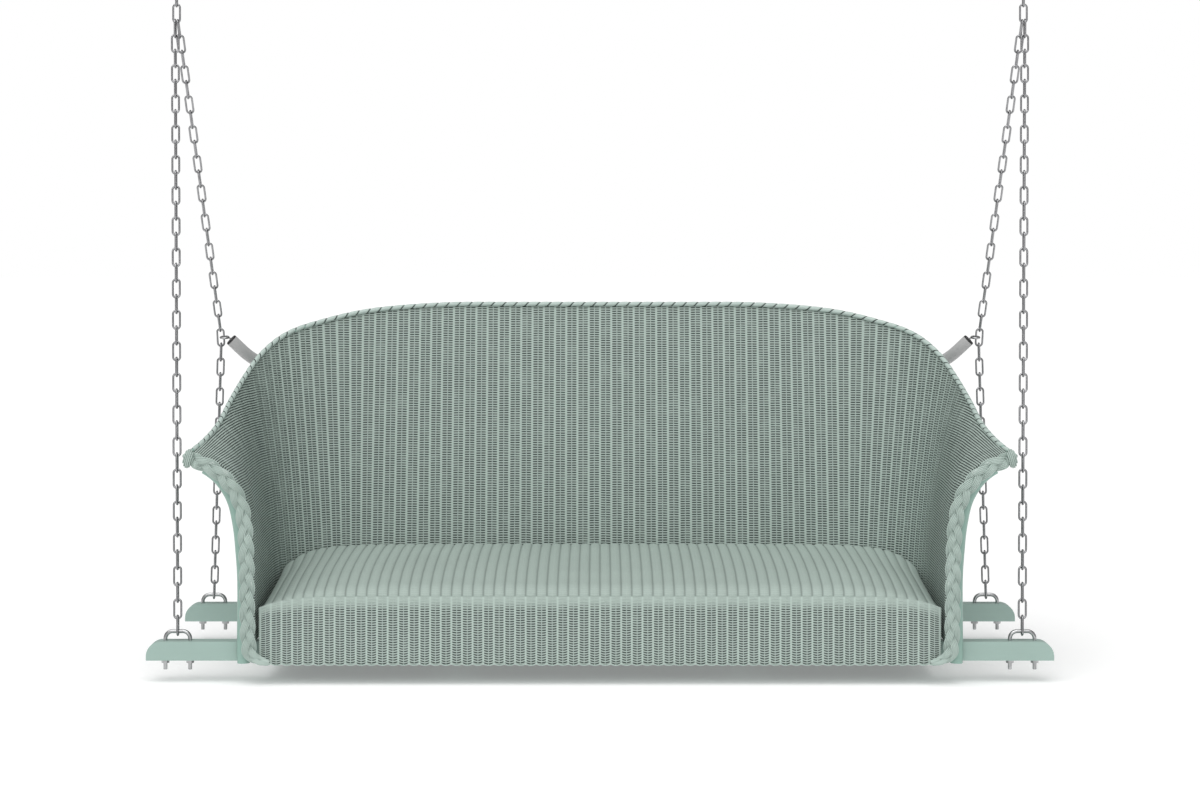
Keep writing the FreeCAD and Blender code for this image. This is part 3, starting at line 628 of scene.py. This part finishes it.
plait = {"repeat": 108.0, "swing": 8.4, "weave": 5.0, "strands": 3, "cords": 5, "cordSpacing": 2.75,
         "cordRadius": 1.42, "step": 3.0, "depth": -57.0, "samples": 400, "lookAhead": 0.05, "endRoom": 0.01,
         "crown": 2.4, "crownWidth": 14.0,  # a strand's middle cords stand higher than its side cords
         "tuck": 22.0, "tuckLength": 26.0,  # the start dips back behind the knob
         "startWidth": 0.55, "startLength": 40.0, "endWidth": 0.25, "endLength": 60.0,
         "knob": {"turns": 6, "perTurn": 24, "centre": (-774, 368), "back": 2.0, "tilt": -14.0,
                  "long": 9.5, "tall": 17.6, "deep": 12.0, "poleSwell": 0.02},
         "line": [(-778, 367), (-767, 366), (-750, 360), (-725, 347.5), (-698, 322.5), (-677.5, 289),
                  (-668, 247), (-664.5, 195), (-663.5, 150), (-663, 90), (-662, 44), (-660, 12), (-653, -4),
                  (-640, -12), (-622, -15)]}


def knobCord(k):
    centre = Vector((k["centre"][0], plait["depth"] + k["back"], k["centre"][1]))
    tilt = math.radians(k["tilt"])
    axis = Vector((math.cos(tilt), 0.0, math.sin(tilt)))
    up = Vector((-axis.z, 0.0, axis.x))
    points = []
    count = k["perTurn"] * k["turns"]
    for i in range(count + 1):
        t = -1.0 + 2.0 * i / count
        swell = math.sqrt(max(k["poleSwell"], 1.0 - t * t))
        turn = 2 * math.pi * k["turns"] * i / count
        points.append(centre + axis * (t * k["long"]) + up * (k["tall"] * swell * math.cos(turn))
                      + Vector((0.0, k["deep"] * swell * math.sin(turn), 0.0)))
    return points


plaitLine = [Vector((x, 0.0, z)) for x, z in plait["line"]]
plaitSpans = len(plaitLine) - 1
plaitReach = lengthTable([between(plaitLine, plaitSpans * i / plait["samples"])
                          for i in range(plait["samples"] + 1)])
plaitLength = plaitReach[-1]


# The plait's middle at a distance from the arm's tip, and the way across it.
def plaitAt(distance):
    distance = min(max(distance, plait["endRoom"]), plaitLength - plait["endRoom"])
    position = lookUp(plaitReach, distance) * plaitSpans
    step = plait["lookAhead"]
    ahead = (between(plaitLine, position + step) - between(plaitLine, position - step)).normalized()
    return between(plaitLine, position), Vector((ahead.z, 0.0, -ahead.x))


def plaitPoint(strand, offset, s):
    wave = 2 * math.pi / plait["repeat"]
    turn = wave * s + 2 * math.pi * strand / plait["strands"]
    slope = plait["swing"] * math.cos(turn) * wave
    lean = 1.0 / math.sqrt(1.0 + slope * slope)
    fadeIn = min(1.0, plait["startWidth"] + s / plait["startLength"])
    fadeOut = min(1.0, plait["endWidth"] + (plaitLength - s) / plait["endLength"])
    fade = fadeOut * fadeIn
    centre, sideways = plaitAt(s - offset * slope * lean)
    crown = plait["crown"] * math.cos(math.pi * offset / plait["crownWidth"])
    lift = plait["weave"] * math.sin(2 * turn) + crown
    tuck = plait["tuck"] * max(0.0, 1.0 - s / plait["tuckLength"]) ** 2
    point = centre + sideways * ((plait["swing"] * math.sin(turn) + offset * lean) * fade)
    point.y = plait["depth"] - lift * fade + tuck
    return point


def makePlait(name, side):
    runs = []
    steps = int(plaitLength / plait["step"])
    for strand in range(plait["strands"]):
        for cord in range(plait["cords"]):
            offset = (cord - (plait["cords"] - 1) / 2) * plait["cordSpacing"]
            runs.append([plaitPoint(strand, offset, plaitLength * i / steps) for i in range(steps + 1)])
    runs.append(knobCord(plait["knob"]))
    runs = [[onBench(side * -p.x, p.y, p.z) for p in run] for run in runs]
    piece = addPiece(name, cordMesh(name, runs, plait["cordRadius"] * mm), finishes["braid"])
    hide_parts("arm_braid_left" if side < 0 else "arm_braid_right")


for plaitName, plaitSide in (("armPlaitLeft", -1), ("armPlaitRight", 1)):
    makePlait(plaitName, plaitSide)
print("plaits ready")


ribSize = 20.0  # the seat and the apron have the same ribs
uvStart = 200.0  # keeps the count of ribs above zero on the left half
seat = {"halfWidth": 640.0, "perRib": 8, "up": 64, "groove": 3.2, "grooveCurve": 0.55, "rowPitch": 2.3,
        "underside": 79.0, "frontShare": 0.20, "endCurve": 9, "lineSteps": 24, "lookAhead": 0.01,
        "noseGroove": 0.3, "noseShare": 0.12,  # the grooves are shallower at the front's foot
        "wallHeight": 0.09, "wallRoom": 5.0, "firstSection": 1.0, "edgeSteps": 300,
        # distance back, height at the middle, height at the ends
        "nose": [(-40.6, 80.0, 79.5), (-42.0, 93.0, 80.5), (-42.4, 104.0, 81.5), (-40.5, 113.0, 82.3),
                 (-33.5, 121.0, 83.0), (-18.0, 128.0, 84.0)],
        "crown": [(-18, 128.0, 84.0), (60, 141, 88), (160, 148, 95), (280, 151, 104), (380, 150, 121),
                  (440, 147, 134), (480, 146, 138)]}


def heightOn(y, column):
    rows = seat["crown"]
    for first, second in zip(rows, rows[1:]):
        if y <= second[0]:
            t = (y - first[0]) / (second[0] - first[0])
            return first[column] + (second[column] - first[column]) * t
    return rows[-1][column]


# The wall's inside at the cover's height, from near the arm's front to mid back.
rearEdge = []
edgeSpan = lastSection / 2 - seat["firstSection"]
for step in range(seat["edgeSteps"] + 1):
    point = wallPoint(seat["firstSection"] + edgeSpan * step / seat["edgeSteps"], seat["wallHeight"])
    rearEdge.append((-point.x, point.y))


# How far back the cover runs, a little short of the wall.
def rearLimit(x):
    x = abs(x)
    for (x0, y0), (x1, y1) in zip(rearEdge, rearEdge[1:]):
        if x1 <= x <= x0 and x0 > x1:
            return y0 + (y1 - y0) * (x0 - x) / (x0 - x1) - seat["wallRoom"]
    return rearEdge[0][1] - seat["wallRoom"]  # beyond the wall's own width


def seatBase(a, b):
    x = (2 * a - 1) * seat["halfWidth"]
    share = min(1.0, abs(x) / seat["halfWidth"]) ** seat["endCurve"]
    if b <= seat["frontShare"]:
        at = between([Vector(p) for p in seat["nose"]], (len(seat["nose"]) - 1) * b / seat["frontShare"])
        return Vector((x, at.x, at.y + (at.z - at.y) * share))
    t = (b - seat["frontShare"]) / (1 - seat["frontShare"])
    start = seat["crown"][0][0]
    y = start + (rearLimit(x) - start) * t
    return Vector((x, y, heightOn(y, 1) * (1 - share) + heightOn(y, 2) * share))


seatRise = {}


def seatLine(a):
    key = round(a, 6)
    if key not in seatRise:
        steps = seat["lineSteps"]
        seatRise[key] = lengthTable([seatBase(a, k / steps) for k in range(steps + 1)])
    return seatRise[key]


def seatPlace(a, b):
    point = seatBase(a, b)
    step = seat["lookAhead"]
    ahead = seatBase(a, min(b + step, 1.0)) - seatBase(a, max(b - step, 0.0))
    normal = Vector((1, 0, 0)).cross(ahead).normalized()
    dip = 1.0 - abs(math.sin(math.pi * point.x / ribSize)) ** seat["grooveCurve"]
    softly = seat["noseGroove"] + (1.0 - seat["noseGroove"]) * min(1.0, b / seat["noseShare"])
    return onBench(*(point - normal * (seat["groove"] * dip * softly)))


def seatUv(a, b):
    x = (2 * a - 1) * seat["halfWidth"]
    line = seatLine(a)
    position = b * seat["lineSteps"]
    i = min(int(position), seat["lineSteps"] - 1)
    distance = line[i] + (line[i + 1] - line[i]) * (position - i)
    return (x / ribSize + uvStart, distance / seat["rowPitch"])


def makeSeat():
    ribs = round(2 * seat["halfWidth"] / ribSize)
    bm = bentGrid(ribs * seat["perRib"], seat["up"], seatPlace, seatUv)
    rest = onBench(0, 0, seat["underside"]).z
    border = [e for e in bm.edges if e.is_boundary]
    skirt = bmesh.ops.extrude_edge_only(bm, edges=border)["geom"]
    for v in [g for g in skirt if isinstance(g, bmesh.types.BMVert)]:
        v.co.z = rest
    hem = [g for g in skirt if isinstance(g, bmesh.types.BMEdge) and g.is_boundary]
    bmesh.ops.contextual_create(bm, geom=hem)
    bmesh.ops.triangulate(bm, faces=[f for f in bm.faces if len(f.verts) > 4])
    bmesh.ops.recalc_face_normals(bm, faces=bm.faces)
    piece = addPiece("seatCover", toMesh(bm, "seatCover"), finishes["seat_weave"])
    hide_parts("seat_pad")


makeSeat()
print("seat ready")


apron = {"halfWidth": 643.0, "top": 107.0, "endDrop": 21.0, "endCurve": 14, "foot": -18.5, "scallop": 2.6,
         "front": -44.6, "puff": 0.7, "thickness": 3.0, "rowPitch": 2.3, "perRib": 8, "up": 24,
         "lean": 2.6, "leanFrom": 84.0,
         "edge": {"samples": 900, "back": 1.2, "below": 0.6, "radius": 2.0}}


def ribBulge(x):
    return abs(math.sin(math.pi * x / ribSize))


def apronFoot(x):
    return apron["foot"] - apron["scallop"] * ribBulge(x)


def apronTop(x):
    return apron["top"] - apron["endDrop"] * min(1.0, abs(x) / apron["halfWidth"]) ** apron["endCurve"]


def apronPlace(a, b):
    x = (2 * a - 1) * apron["halfWidth"]
    low = apronFoot(x)
    z = low + (apronTop(x) - low) * b
    puff = apron["puff"] * ribBulge(x)
    lean = apron["lean"] * max(0.0, (z - apron["leanFrom"]) / (apron["top"] - apron["leanFrom"])) ** 2
    return onBench(x, apron["front"] - puff + lean, z)


def apronUv(a, b):
    x = (2 * a - 1) * apron["halfWidth"]
    return (x / ribSize + uvStart, (apron["top"] - apron["foot"]) * b / apron["rowPitch"])


def makeApron():
    ribs = round(2 * apron["halfWidth"] / ribSize)
    bm = bentGrid(ribs * apron["perRib"], apron["up"], apronPlace, apronUv)
    piece = addPiece("frontApron", toMesh(bm, "frontApron"), finishes["apron"])
    shell = piece.modifiers.new("thickness", "SOLIDIFY")
    shell.thickness = apron["thickness"] * mm
    shell.offset = -1.0
    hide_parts("front_apron")


def makeApronEdge(s):
    line = []
    for i in range(s["samples"] + 1):
        x = -apron["halfWidth"] + 2 * apron["halfWidth"] * i / s["samples"]
        line.append(onBench(x, apron["front"] + s["back"], apronFoot(x) - s["below"]))
    addPiece("apronEdge", cordMesh("apronEdge", [line], s["radius"] * mm), finishes["braid"])


makeApron()
makeApronEdge(apron["edge"])
print("apron ready")
